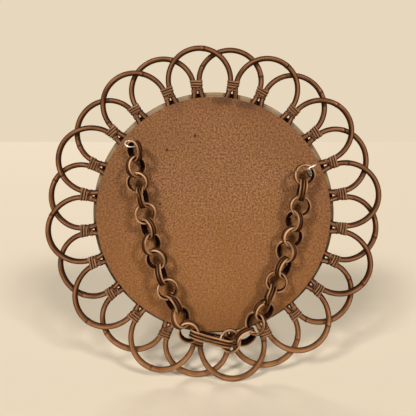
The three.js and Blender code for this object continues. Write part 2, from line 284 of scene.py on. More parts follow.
# The black of the painted shade on the hoop
HOOP_SHADE_BLACK = (0.014, 0.007, 0.004, 1)
STEEL_SHADES = [(0.7, 0.67, 0.62, 1), (0.95, 0.93, 0.9, 1)]
# The grey of the painted shade in the thread's hollows
STEEL_HOLLOW_SHADE = (0.09, 0.085, 0.08, 1)
GLASS_SHADES = [(0.84, 0.87, 0.87, 1), (0.9, 0.92, 0.92, 1)]

# Floor, lamps, sky and camera
FLOOR_GAP = 0.5 * MM
FLOOR_REACH = 30
FLOOR_COLOUR = (0.667, 0.588, 0.473, 1)
LAMP_COLOUR = (1.0, 0.95, 0.87)
FRONT_COLOUR = (1.0, 0.96, 0.9)
SKY_COLOUR = (0.8, 0.68, 0.51, 1)
SKY_CUTS = {"Is Diffuse Ray": 0.93, "Is Glossy Ray": 0.25}
CAMERA_PLACE = (0, 0.5768, 0.1152)
CAMERA_DIP = math.radians(0.3)
CAMERA_LENS = 33.36
CAMERA_SHIFT = (-0.0132, -0.165)

# Sizes that follow
CANE_Y = -(BOARD_THICKNESS + FIT_GAP + CANE_RADIUS)
HOOP_BACK = CANE_Y - CANE_RADIUS - FIT_GAP
PITCH_ANGLE = ROUND / LOOP_COUNT
LINK_COUNT = len(LEFT_ROLLS)


def loop_circle(half):
    """The centre distance and radius of a loop whose lashings stand half an angle to either side."""
    centre = (OUTER_RADIUS - CANE_RADIUS + SIDE_OFFSET) / (1 + math.sin(half))
    return centre, centre * math.sin(half) - SIDE_OFFSET


EVEN_CENTRE, EVEN_RADIUS = loop_circle(PITCH_ANGLE)
BINDING_INNER = EVEN_CENTRE * math.cos(PITCH_ANGLE) + BINDING_RISE - BINDING_LENGTH / 2
BINDING_OUTER = BINDING_INNER + BINDING_LENGTH
HOOP_OUTER = BINDING_INNER - HOOP_CLEARANCE
HOOP_INNER = HOOP_OUTER - HOOP_WIDTH
BOARD_RADIUS = HOOP_OUTER - BOARD_INSET
GLASS_RADIUS = HOOP_INNER + GLASS_OVERLAP
FOOT_RADIUS = GLASS_RADIUS + FOOT_GAP
SHANK_RADIUS = GLASS_RADIUS + EYE_INSET
CHAIN_Y = CHAIN_GAP + LINK_RADIUS + STRAND_RADIUS
LINK_PITCH = 2 * (LINK_RADIUS - STRAND_RADIUS) - LINK_SLACK
PALE_BAND = (HOOP_BACK - 6.5 * MM, HOOP_BACK - 2 * MM)
# Depths over which the hoop's painted shade shows
HOOP_SHADE_BAND = (HOOP_BACK - 5 * MM, HOOP_BACK - 1.5 * MM)
LEAN_START = BINDING_OUTER * math.cos(PITCH_ANGLE)
CROSSING_REACH = math.sqrt(EVEN_RADIUS**2 - (EVEN_CENTRE * math.sin(PITCH_ANGLE / 2)) ** 2)
CROSSING_PLACE = (
    EVEN_CENTRE * math.cos(PITCH_ANGLE / 2) + CROSSING_REACH
) * math.cos(PITCH_ANGLE / 2)
LEAN_SLOPE = (CANE_RADIUS + CROSSING_GAP) / (CROSSING_PLACE - LEAN_START - LEAN_EASING / 2)


# Directions

OUTWARD = np.array([0.0, 1.0, 0.0])


def radial(angle):
    return np.array([-math.cos(angle), 0.0, math.sin(angle)])


def sideways(angle):
    return np.array([math.sin(angle), 0.0, math.cos(angle)])


def unit(vectors):
    return vectors / np.linalg.norm(vectors, axis=-1, keepdims=True)


# Meshes


def make_object(name, verts, faces, fields):
    """A mesh object whose points carry the given attributes: vectors of three or single numbers."""
    mesh = bpy.data.meshes.new(name)
    mesh.from_pydata([tuple(v) for v in verts], [], faces)
    for field, values in fields.items():
        values = np.asarray(values, np.float32)
        kind, key = ("FLOAT_VECTOR", "vector") if values.ndim == 2 else ("FLOAT", "value")
        made = mesh.attributes.new(field, kind, "POINT")
        made.data.foreach_set(key, values.ravel())
    mesh.shade_smooth()
    piece = bpy.data.objects.new(name, mesh)
    bpy.context.scene.collection.objects.link(piece)
    return piece


class Builder:
    """Collects tubes and strips that make up one piece."""

    def __init__(self):
        self.verts, self.straight, self.shade, self.faces, self.count = [], [], [], [], 0

    def add(self, rings, straight, shade):
        """Rings of points, joined one to the next, with a cap on each end."""
        steps, sides = rings.shape[:2]
        first = self.count
        for i in range(steps - 1):
            a, b = first + i * sides, first + (i + 1) * sides
            for k in range(sides):
                m = (k + 1) % sides
                self.faces.append((a + k, a + m, b + m, b + k))
        self.faces.append(tuple(first + k for k in reversed(range(sides))))
        self.faces.append(tuple(first + (steps - 1) * sides + k for k in range(sides)))
        self.verts.append(rings.reshape(-1, 3))
        self.straight.append(straight.reshape(-1, 3))
        self.shade.append(shade.reshape(-1))
        self.count += steps * sides

    def finish(self, name):
        fields = {
            "straight": np.concatenate(self.straight),
            "shade": np.concatenate(self.shade),
        }
        return make_object(name, np.concatenate(self.verts), self.faces, fields)


def lengths_along(points):
    return np.concatenate([[0.0], np.cumsum(np.linalg.norm(np.diff(points, axis=0), axis=1))])


def carried_frames(points, start):
    """Two directions across a path at each point, turned as little as possible on the way."""
    along = unit(np.gradient(points, axis=0))
    first = start - along[0] * np.dot(start, along[0])
    across = [first / np.linalg.norm(first)]
    for k in range(1, len(points)):
        kept = across[-1] - along[k] * np.dot(across[-1], along[k])
        across.append(kept / np.linalg.norm(kept))
    across = np.array(across)
    return across, np.cross(along, across)


def add_cane(builder, points, radii, sides, start, tone=None):
    """A round cane or wire along the points, drawn in at its ends. tone says how dark each side is."""
    across, third = carried_frames(points, start)
    place = lengths_along(points)
    turn = np.linspace(0, ROUND, sides, endpoint=False)
    radii = np.broadcast_to(radii, len(points)).copy()
    radii[[0, -1]] *= END_SHARE
    ring = radii[:, None, None] * (
        across[:, None] * np.cos(turn)[None, :, None] + third[:, None] * np.sin(turn)[None, :, None]
    )
    apart = rng.uniform(*PATTERN_SHIFT)
    straight = np.stack(
        [
            radii[:, None] * np.cos(turn) + apart,
            radii[:, None] * np.sin(turn) + apart,
            np.repeat(place[:, None], sides, axis=1),
        ],
        axis=-1,
    )
    shade = tone(unit(ring)) if tone else np.zeros((len(points), sides))
    builder.add(points[:, None] + ring, straight, shade)


def add_strip(builder, points, outer, width, thickness, painted_shade=0.0):
    """A flat strip with a domed face, its back to the points, with painted shade at its edges and a
    painted highlight on its crown. Extra painted shade given to it darkens it all.
    """
    along = unit(np.gradient(points, axis=0))
    outer = unit(outer - along * np.sum(outer * along, axis=1, keepdims=True))
    beside = np.cross(along, outer)
    profile = STRIP_SECTION * [width / 2, thickness]
    rings = (
        points[:, None]
        + beside[:, None] * profile[None, :, 0, None]
        + outer[:, None] * profile[None, :, 1, None]
    )
    place = lengths_along(points)
    apart = rng.uniform(*PATTERN_SHIFT)
    straight = np.stack(
        [
            np.broadcast_to(profile[:, 0] + apart, rings.shape[:2]),
            np.broadcast_to(profile[:, 1] + apart, rings.shape[:2]),
            np.repeat(place[:, None], len(profile), axis=1),
        ],
        axis=-1,
    )
    # Painted shade at the strip's edges and a painted highlight on its crown, plus any extra painted
    # shade
    builder.add(rings, straight, np.broadcast_to(STRIP_SHADE_AND_HIGHLIGHT + painted_shade, rings.shape[:2]).copy())


def place_piece(piece, material, slot, *nodes):
    """Gives a piece its material and its body, and hides the solids that it stands for. The slot is not
    used.
    """
    piece.data.materials.append(material)
    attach(piece, "root")
    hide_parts(*nodes)
    return piece


def wave(place, reach, length=102 * MM):
    """A smooth random curve along a path, of three waves that add up to less than the reach."""
    total = np.zeros_like(place)
    for k in (1, 2, 3):
        total += np.sin(place * ROUND * k / length + rng.uniform(*ANY_PHASE)) / k
    return reach * total / WAVE_PEAK


def bell(off, height, middle, reach):
    """A bump about the middle, gone at about twice its reach."""
    return height * np.exp(-(((off - middle) / reach) ** 2))


# Border: loops and lashings


def binding_angle(index):
    drift = BINDING_DRIFT[index % LOOP_COUNT]
    return math.radians(FIRST_BINDING + drift) + index * PITCH_ANGLE


def lean(along):
    """How far a cane stands out of the border's middle plane, by its place along its loop's axis."""
    past = np.maximum(np.asarray(along, float) - LEAN_START, 0)
    eased = LEAN_SLOPE * past**2 / (2 * LEAN_EASING)
    return np.where(past < LEAN_EASING, eased, LEAN_SLOPE * (past - LEAN_EASING / 2))


def foot_aim(heading):
    return -np.array([math.sin(heading), math.cos(heading)])


def half_loop(index):
    """One foot and half the ring of a loop in its own plane, from the foot's end to the top."""
    first, last = binding_angle(index - 1), binding_angle(index + 1)
    half = (last - first) / 2
    centre, radius = loop_circle(half)
    turns = np.linspace(-half, math.pi / 2, ARC_POINTS)
    arc = np.stack([radius * np.cos(turns), centre + radius * np.sin(turns)], axis=1)
    path = [arc[0], arc[0] + foot_aim(half) * FOOT_STRAIGHT]
    for share in np.linspace(0, 1, FOOT_BEND_STEPS + 1)[1:]:
        direction = foot_aim(half + FOOT_SPLAY * share)
        path.append(path[-1] + direction * FOOT_BEND / FOOT_BEND_STEPS)
    point = path[-1]
    dot = float(point @ direction)
    rest = -dot - math.sqrt(dot**2 - float(point @ point) + FOOT_RADIUS**2)
    for share in np.linspace(0, 1, FOOT_POINTS + 1)[1:]:
        path.append(point + direction * rest * share)
    return np.array(path[:0:-1] + list(arc)), (first + last) / 2


def loop_points(index):
    """The middle of a loop's cane, from one foot round to the other."""
    flat, middle = half_loop(index)
    mirrored = flat[-2::-1] * [-1, 1]
    flat = np.concatenate([flat, mirrored])
    layer = 1 if index % 2 == 0 else -1
    heights = CANE_Y + layer * lean(flat[:, 1])
    return (
        flat[:, 1:2] * radial(middle) + flat[:, 0:1] * sideways(middle) + heights[:, None] * OUTWARD
    )


def growth_rings(place):
    """The growth rings along a cane: their swelling, and their dark lines with a paler band beside."""
    swell, dark = np.zeros_like(place), np.zeros_like(place)
    spot = rng.uniform(*FIRST_RING)
    while spot < place[-1] - RING_END_ROOM:
        off = (place - spot) / MM
        swell += bell(off, *RING_SWELL) - bell(off, *RING_GROOVE)
        dark += bell(off, *RING_LINE) - bell(off, *RING_PALE)
        spot += rng.uniform(*RING_STEP)
    return swell, np.clip(dark, -1, 1)[:, None]


def build_loop(index, material):
    """One loop's cane, which sways and swells a little and has growth rings."""
    points = loop_points(index)
    place = lengths_along(points)
    swell, dark = growth_rings(place)
    from_end = np.minimum(place, place[-1] - place)
    eased = np.clip((from_end - SWAY_END_ROOM) / SWAY_EASING, 0, 1)
    points = points + OUTWARD * (wave(place, CANE_SWAY) * eased)[:, None]
    radii = CANE_RADIUS * (CANE_SHARE + swell + wave(place, CANE_UNEVENNESS, 153 * MM))
    # How far the painted shade on the flanks is lifted on the low canes
    painted_light = np.clip((SHADE_FADE_AND_GOLD_FROM - points[:, 2:3]) / (SHADE_FADE_AND_GOLD_FROM - SHADE_FADE_TO), 0, 1)

    def tone(facing):
        """Dark growth rings, painted shade on the flanks, less of it below, and a painted highlight on
        the crest.
        """
        # Painted shade on the flanks and a painted highlight on the crests that face out or in
        flank_shade, shade_lift, flank_width = 1.22, 0.42, 0.85
        crest_light, crest_start = 3.2, 0.8
        toward = np.abs(facing @ OUTWARD)
        flank = np.clip(flank_shade - shade_lift * painted_light - toward / flank_width, 0, 1)
        ringed = np.where(dark > 0, np.maximum(flank, dark), flank + dark)
        return ringed - crest_light * np.clip(toward - crest_start, 0, 1)

    builder = Builder()
    add_cane(builder, points, radii, CANE_SIDES, OUTWARD, tone)
    name = f"loop_{index + 1:02d}"
    return place_piece(builder.finish(f"{name}_cane"), material, "smoked_cane", name)


def side_at(index, angle, radius):
    """Distance from a lashing's line to the middle of one loop's cane, at the given radius."""
    points = loop_points(index)
    along, side = points @ radial(angle), points @ sideways(angle)
    near = np.abs(side) < BINDING_SEARCH
    order = np.argsort(along[near])
    return float(np.interp(radius, along[near][order], side[near][order]))


def round_both(share, left, right, lift):
    """A place on the way once round two canes, as (side, out), and the direction that it faces."""
    flat, round_part = right - left, math.pi * lift
    reach = share * 2 * (flat + round_part)
    if reach < flat:
        return (left + reach, lift), (0, 1)
    if reach < flat + round_part:
        bend = (reach - flat) / lift
        facing = (math.sin(bend), math.cos(bend))
        return (right + lift * facing[0], lift * facing[1]), facing
    if reach < 2 * flat + round_part:
        return (right - (reach - flat - round_part), -lift), (0, -1)
    bend = (reach - 2 * flat - round_part) / lift
    facing = (-math.sin(bend), -math.cos(bend))
    return (left + lift * facing[0], lift * facing[1]), facing


def build_binding(index, material):
    """Turns of split cane round two canes, a narrower neck below them and a tail round one cane."""
    angle = binding_angle(index)
    across, up = sideways(angle), radial(angle)
    levels = np.linspace(BINDING_INNER - BINDING_BELOW, BINDING_OUTER, BINDING_LEVELS)
    sides = [[side_at(k % LOOP_COUNT, angle, r) for r in levels] for k in (index - 1, index + 1)]
    low_side, high_side = sorted(sides, key=lambda s: s[-1])
    builder = Builder()

    def wind(start, pitch, turns, strip, slant, painted_shade=0.0):
        """Turns of a strip from a level on, each a pitch from the last, tilted by the slant in 10 mm."""
        width, thickness, lift = strip
        path, outer = [], []
        for t in np.linspace(0, turns, int(WIND_POINTS * turns)):
            level = start + pitch * min(t, turns - LEVEL_END)
            left, right = np.interp(level, levels, low_side), np.interp(level, levels, high_side)
            spot, facing = round_both(t % 1.0, left, right, CANE_RADIUS + lift)
            tilt = slant * spot[0] / (10 * MM)
            path.append(across * spot[0] + OUTWARD * (CANE_Y + spot[1]) + up * (level + tilt))
            outer.append(across * facing[0] + OUTWARD * facing[1])
        add_strip(builder, np.array(path), np.array(outer), width, thickness, painted_shade)

    slant = rng.choice([-1, 1]) * rng.uniform(*MAIN_SLANT)
    start = BINDING_INNER + MAIN_STRIP[0] / 2 + rng.uniform(*MAIN_SLIDE)
    wind(start, MAIN_PITCH, MAIN_TURNS, MAIN_STRIP, slant)
    neck = BINDING_INNER - rng.uniform(*NECK_DROP)
    # The neck gets extra painted shade, for it lies in shade under the lashing
    wind(neck, NECK_PITCH, rng.choice(NECK_TURNS), NECK_STRIP, -slant, painted_shade=0.5)
    add_tail(builder, levels, high_side, across, up)
    name = f"binding_{index + 1:02d}"
    return place_piece(builder.finish(f"{name}_strips"), material, "split_cane", name)


def add_tail(builder, levels, sides, across, up):
    """The strip's end, wound round the single cane under the lashing."""
    width, thickness, lift = TAIL_STRIP
    turns = rng.choice(TAIL_TURNS)
    path, outer = [], []
    phase = rng.uniform(*ANY_PHASE)
    for t in np.linspace(0, turns, int(TAIL_POINTS * turns)):
        level = BINDING_INNER - TAIL_DROP + TAIL_PITCH * t
        bend = t * ROUND + phase
        side = np.interp(level, levels, sides)
        facing = across * math.sin(bend) + OUTWARD * math.cos(bend)
        path.append(across * side + up * level + OUTWARD * CANE_Y + facing * (CANE_RADIUS + lift))
        outer.append(facing)
    add_strip(builder, np.array(path), np.array(outer), width, thickness)


# Chain


def curve_size(span, slack):
    """The size of the curve in which a chain hangs, found from sinh(share) / share by halving."""
    low, high = 0.0, math.log(slack / span) + slack / span
    for _ in range(50):
        share = (low + high) / 2
        if math.sinh(share) / share < slack / span:
            low = share
        else:
            high = share
    return span / (low + high)


def shank_foot(binding):
    """Where a screw eye's shank leaves the board, straight below a lashing."""
    return radial(binding_angle(binding)) * SHANK_RADIUS


def hanging_chain():
    """The chain's curve: its size, its lowest point and where its two top links come along it."""
    left_foot, right_foot = shank_foot(LEFT_BINDING), shank_foot(RIGHT_BINDING)
    left = np.array([-left_foot[0] + LEFT_HANG[0], left_foot[2] + LEFT_HANG[1]])
    right = np.array([-right_foot[0] + RIGHT_HANG[0], right_foot[2] + RIGHT_HANG[1]])
    length = 2 * (LINK_COUNT - 1) * LINK_PITCH + LONG_ROOM
    span, rise = right - left
    size = curve_size(span, math.sqrt(length**2 - rise**2))
    half = size * math.sinh(span / (2 * size))
    lowest = (left[0] + right[0]) / 2 - size * math.asinh(rise / (2 * half))
    drop = size * (math.cosh((left[0] - lowest) / size) - 1)
    top = size * math.sinh((left[0] - lowest) / size)
    return size, lowest, left[1] - drop, top, top + length


CHAIN_SIZE, CHAIN_RIGHT, CHAIN_UP, LEFT_TOP, RIGHT_TOP = hanging_chain()


def chain_place(along):
    """The point on the chain's curve at a distance along it, and the curve's slope there."""
    right = CHAIN_SIZE * math.asinh(along / CHAIN_SIZE)
    rise = CHAIN_SIZE * (math.cosh(right / CHAIN_SIZE) - 1)
    point = np.array([-CHAIN_RIGHT - right, CHAIN_Y, CHAIN_UP + rise])
    return point, math.atan(math.sinh(right / CHAIN_SIZE))


def link_along(side, index):
    """A link's distance along the chain's curve. The side is -1 for the left and 1 for the right."""
    return (RIGHT_TOP if side > 0 else LEFT_TOP) - side * (LINK_COUNT - 1 - index) * LINK_PITCH


def link_frame(side, index):
    """A ring's middle, the direction along the chain, the ring's axis and the third direction."""
    rolls, steps = (RIGHT_ROLLS, RIGHT_STEPS) if side > 0 else (LEFT_ROLLS, LEFT_STEPS)
    point, slope = chain_place(link_along(side, index))
    heading = slope if side > 0 else math.pi + slope
    up = np.array([-math.cos(heading), 0.0, math.sin(heading)])
    right = np.array([-math.sin(heading), 0.0, -math.cos(heading)])
    roll = math.radians(rolls[index])
    axis = OUTWARD * math.cos(roll) + right * math.sin(roll)
    across = right * math.cos(roll) - OUTWARD * math.sin(roll)
    return point + right * steps[index] * MM, up, axis, across


def winding(stretch):
    """A link's cane, wound round three times: its angle, reach and place along the axis at each point."""
    steps = LONG_POINTS if stretch else LINK_POINTS
    start = LONG_START if stretch else rng.uniform(0, ROUND)
    total = LINK_LANES * ROUND - LINK_OPENING
    turn = np.linspace(0, total, int(steps * total / ROUND))
    lane = np.floor(turn / ROUND)
    past = turn - lane * ROUND - (ROUND - LANE_CHANGE)
    shift = np.clip(past / LANE_CHANGE, 0, 1)
    shift = shift * shift * (3 - 2 * shift)
    offset = (lane + shift * (lane < LINK_LANES - 1) - 1) * LANE_GAP
    oval = OUT_OF_ROUND * np.sin(turn * 2 + rng.uniform(0, 6))
    swell = 1 + oval + rng.uniform(-OUT_OF_ROUND, OUT_OF_ROUND)
    reach = LINK_RADIUS * swell + wave(turn * LINK_RADIUS, LINK_SWAY)
    for from_end in (turn, total - turn):
        reach = reach - TUCK * np.exp(-from_end / TUCK_REACH)
    return turn + start, reach, offset + wave(turn * LINK_RADIUS, LANE_SWAY)


def link_tone(axis, outside, lane, painted_light, gloom, patchy):
    """How dark a link is: painted shade in its grooves and on its inside, and a painted highlight on its
    rims.
    """
    # Grooves and the inside get painted shade; rims and crests a painted highlight, strongest on the lit
    # side
    groove_dark, groove_sharpness, hollow_dark, crest_light = 1.2, 1.4, 1.25, 0.4
    rim_gain, rim_reach, rim_start, side_gain = 1.5, 1.1, 0.3, 0.35
    least_highlight, most_highlight = 0.15, 1.1
    wear_and_highlight = np.clip(painted_light + side_gain * outside @ HIGHLIGHT_SIDE + patchy, least_highlight, most_highlight)[:, None]

    def tone(facing):
        sideward = facing @ axis
        rimward = sideward * lane
        outer = np.sum(facing * outside[:, None], axis=2)
        groove = np.where(rimward > rim_start, 0, groove_dark * np.abs(sideward) ** groove_sharpness)
        hollow = hollow_dark * np.clip(-outer, 0, 1) * (1 - np.clip(rimward, 0, 1))
        rim = np.clip(rimward * rim_gain, 0, 1) * np.clip(rim_reach + outer, 0, 1)
        crest = crest_light * np.clip(outer, 0, 1) ** 2
        return np.clip(groove + hollow + gloom - np.maximum(rim, crest) * wear_and_highlight, -1, 1)

    return tone


def add_link(builder, point, up, axis, across, stretch=0.0):
    """A link of three turns side by side with its ends tucked in, pulled long by the stretch."""
    angle, reach, offset = winding(stretch)
    sine, cosine = np.sin(angle), np.cos(angle)
    pull = np.clip(sine / PULL_SINE, -1, 1) * stretch / 2
    points = (
        point
        + across * (reach * cosine)[:, None]
        + up * (reach * sine + pull)[:, None]
        + axis * offset[:, None]
    )
    place = lengths_along(points)
    radii = STRAND_RADIUS * (STRAND_SHARE + wave(place, STRAND_UNEVENNESS, 85 * MM))
    outside = across * cosine[:, None] + up * sine[:, None]
    # The strength of the painted highlight on the rims, and the link's own darkness
    painted_light, gloom = LONG_HIGHLIGHT_AND_DARKNESS if stretch else LINK_HIGHLIGHT_AND_DARKNESS
    patchy = wave(place, PATCHINESS, 51 * MM)
    tone = link_tone(axis, outside, (offset / LANE_GAP)[:, None], painted_light, gloom, patchy)
    add_cane(builder, points, radii, LINK_SIDES, axis, tone)


def build_chain(name, side, material):
    """All the links of one side as a single piece."""
    builder = Builder()
    for index in range(LINK_COUNT):
        add_link(builder, *link_frame(side, index))
    return place_piece(builder.finish(f"{name}_links"), material, "chain_cane", name)


def build_long_link(material):
    """The long link at the bottom, between the lowest links of the two sides."""
    up = np.array([-math.cos(LONG_TILT), 0.0, -math.sin(LONG_TILT)])
    rise = np.array([-math.sin(LONG_TILT), 0.0, math.cos(LONG_TILT)])
    axis = rise * math.sin(LONG_ROLL) + OUTWARD * math.cos(LONG_ROLL)
    left, right = (chain_place(link_along(side, 0))[0] for side in (-1, 1))
    point = (left + right) / 2 - np.array([0, 0, LONG_DROP])
    builder = Builder()
    add_link(builder, point, up, axis, np.cross(up, axis), LONG_STRETCH)
    name = "chain_long_link"
    return place_piece(builder.finish(f"{name}_strands"), material, "chain_cane", name)


# Screw eyes


def rounded(points):
    """The path with its corners cut again and again, which leaves smooth bends."""
    for _ in range(3):
        kept = [points[0]]
        for a, b in zip(points[:-1], points[1:]):
            kept += [a * 0.75 + b * 0.25, a * 0.25 + b * 0.75]
        points = kept + [points[-1]]
    return points


def build_eye(name, side, binding, hold, facing, turn_way, material):
    """A threaded shank, and the wire of the eye that springs from it and stops short of closing.

    The eye holds its link at an angle on the link's ring, in degrees, and faces the way given as
    right, out and up. Its wire turns one way or the other from the shank.
    """
    point, up, _, across = link_frame(side, LINK_COUNT - 1)
    foot = shank_foot(binding)
    hold = math.radians(hold)
    middle = point + across * LINK_RADIUS * math.cos(hold) + up * LINK_RADIUS * math.sin(hold)
    axis = unit(np.array([-facing[0], facing[1], facing[2]]))
    to_foot = foot - middle
    to_foot = unit(to_foot - axis * np.dot(to_foot, axis))
    beside = np.cross(axis, to_foot) * turn_way
    angles = np.linspace(0, EYE_TURN, EYE_POINTS)
    ring = [middle + EYE_RADIUS * (to_foot * math.cos(a) + beside * math.sin(a)) for a in angles]
    bend = foot + OUTWARD * EYE_BEND
    tip = foot + OUTWARD * (HOOP_BACK - SHANK_IN_HOOP)
    buried = foot - OUTWARD * WIRE_IN_BOARD
    wire = np.array([buried] + rounded([bend] + ring[:3]) + ring[3:])
    builder = Builder()
    add_cane(builder, wire, WIRE_RADIUS, WIRE_SIDES, axis)
    add_thread(builder, tip, foot + OUTWARD * THREAD_TOP)
    if side > 0:
        add_coil(builder, foot)
    return place_piece(builder.finish(f"{name}_wire"), material, "steel_wire", name)


def add_coil(builder, foot):
    """Thin wire coiled in a cone round the shank, wide at the board and narrow at its outer end."""
    turn = np.linspace(0, COIL_TURNS * ROUND, COIL_POINTS)
    share = turn / turn[-1]
    reach, rise = (np.interp(share, (0, 1), ends) for ends in (COIL_REACH, COIL_RISE))
    ring = np.stack([reach * np.cos(turn), rise, reach * np.sin(turn)], axis=1)
    add_cane(builder, foot + ring, COIL_WIRE, COIL_SIDES, OUTWARD)


def add_thread(builder, tip, top):
    """The shank's own thread, from its tip in the hoop to where the eye begins."""
    length = float(np.linalg.norm(top - tip))
    place = np.linspace(0, length, THREAD_STEPS)
    turn = np.linspace(0, ROUND, THREAD_SIDES, endpoint=False)
    phase = (place[:, None] / THREAD_PITCH - turn[None] / ROUND) % 1.0
    ridge = np.clip(1 - np.abs(phase - 0.5) * 4, 0, 1) * THREAD_RIDGE
    ends = np.clip((length - place) / THREAD_FADE, 0, 1) * np.clip(place / THREAD_POINT, 0.1, 1)
    radii = (THREAD_CORE + ridge) * np.sqrt(ends)[:, None]
    ring = np.stack([radii * np.cos(turn), np.zeros_like(radii), -radii * np.sin(turn)], axis=-1)
    rings = tip + ring + OUTWARD * place[:, None, None]
    straight = ring + np.array([0, 0, 1.0]) * place[:, None, None]
    # Painted shade in the thread's hollows, darker the deeper they are
    builder.add(rings, straight, np.clip(1 - ridge / THREAD_HOLLOW, 0, 1) * 0.9)


# Turned pieces


def build_turned(name, profile, segments, wobble=0.0, shade=None):
    """A closed profile of (radius, y) turned about the mirror's axis. Its ends may lie on the axis."""
    profile = np.array(profile)
    turn = np.linspace(0, ROUND, segments, endpoint=False)
    uneven = wobble * sum(np.sin(turn * k + rng.uniform(*ANY_PHASE)) / k for k in WOBBLE_WAVES)
    verts, straight, faces, tones = [], [], [], []
    open_ends = profile[0][0] == 0
    inner = profile[1:-1] if open_ends else profile
    for a, extra in zip(turn, uneven):
        for r, y in inner:
            verts.append(radial(a) * (r + extra) + OUTWARD * y)
            straight.append((r, y, a * BOARD_RADIUS))
            tones.append(shade(a, r) if shade else 0.0)
    rows = len(inner)
    spans = [(i * rows, (i + 1) % segments * rows) for i in range(segments)]
    for a, b in spans:
        for k in range(rows - 1 if open_ends else rows):
            m = (k + 1) % rows
            faces.append((a + k, a + m, b + m, b + k))
    if open_ends:
        for (_, y), row in ((profile[0], 0), (profile[-1], rows - 1)):
            faces += [(len(verts), a + row, b + row) for a, b in spans]
            verts.append(OUTWARD * y)
            straight.append((0, y, 0))
            tones.append(0.0)
    piece = make_object(name, verts, faces, {"straight": straight, "shade": tones})
    mesh = bmesh.new()
    mesh.from_mesh(piece.data)
    bmesh.ops.recalc_face_normals(mesh, faces=mesh.faces)
    mesh.to_mesh(piece.data)
    mesh.free()
    return piece


def rounded_profile(corners, radius):
    """Corners of (radius, y) with each one rounded off, save the ends that lie on the axis."""
    made = []
    corners = np.array(corners, float)
    for before, corner, after in zip(np.roll(corners, 1, axis=0), corners, np.roll(corners, -1, axis=0)):
        if corner[0] == 0:
            made.append(corner)
            continue
        to_before, to_after = unit(before - corner), unit(after - corner)
        for share in np.linspace(0, 1, ROUNDING_POINTS):
            a, b = corner + to_before * radius * (1 - share), corner + to_after * radius * share
            made.append(a * (1 - share) + b * share)
    return made


def build_board(material):
    """The disc of hardboard, sawn a little unevenly, with three rings of points on either face."""
    rim = BOARD_RADIUS - RIM_ROOM
    back = [(rim * share, -BOARD_THICKNESS) for share in (0.25, 0.5, 0.75)]
    face = [(rim * share, 0.0) for share in (0.75, 0.5, 0.25)]
    corners = [(0, -BOARD_THICKNESS), (rim, -BOARD_THICKNESS), (rim, 0), (0, 0)]
    edge = rounded_profile(corners, BOARD_ROUNDING)
    profile = [edge[0]] + back + edge[1:-1] + face + [edge[-1]]
    piece = build_turned("hardboard_disc", profile, BOARD_SEGMENTS, BOARD_WOBBLE)
    return place_piece(piece, material, "hardboard", "hardboard_back")


def build_hoop(material):
    """The thick cane ring in front of the board, flat behind and rounded in front."""
    edge = HOOP_BACK - HOOP_EDGE
    middle, half = (HOOP_OUTER + HOOP_INNER) / 2, HOOP_WIDTH / 2
    crown = [
        (middle - half * math.cos(a), edge - HOOP_CROWN * math.sin(a) ** CROWN_FULLNESS)
        for a in np.linspace(0, math.pi, CROWN_POINTS)
    ]
    back = [
        (HOOP_OUTER, HOOP_BACK - HOOP_CHAMFER),
        (HOOP_OUTER - HOOP_CHAMFER, HOOP_BACK),
        (HOOP_INNER + HOOP_CHAMFER, HOOP_BACK),
        (HOOP_INNER, HOOP_BACK - HOOP_CHAMFER),
    ]
    feet = np.array([binding_angle(k) for k in range(LOOP_COUNT)])

    def hoop_shade(angle, radius):
        """Painted shade on the hoop round the feet under each lashing, and all along its lower half."""
        off = np.min(np.abs((feet - angle + math.pi) % ROUND - math.pi)) * radius
        near = bell(off, 1, 0, HOOP_SHADE_REACH)
        patchy = sum(height * math.sin(angle * waves + phase) for waves, phase, height in HOOP_SHADE_PATCHES)
        grown = np.clip((HOOP_SHADE_START - math.sin(angle)) / HOOP_SHADE_SPAN, 0, 1)
        low = HOOP_SHADE_STRENGTH * grown + patchy
        return max(near, low) if radius > HOOP_OUTER - HOOP_SHADE_WIDTH else 0.0

    piece = build_turned("hoop_ring", crown + back, HOOP_SEGMENTS, HOOP_WOBBLE, hoop_shade)
    return place_piece(piece, material, "hoop_cane", "hoop")


def build_glass(material):
    """The looking glass: a plain disc with its edge ground."""
    front = HOOP_BACK + FIT_GAP
    back = front + GLASS_THICKNESS
    rim = GLASS_RADIUS - RIM_ROOM
    profile = rounded_profile([(0, front), (rim, front), (rim, back), (0, back)], GLASS_ROUNDING)
    piece = build_turned("looking_glass_disc", profile, GLASS_SEGMENTS)
    return place_piece(piece, material, "looking_glass", "mirror_glass")


# Materials


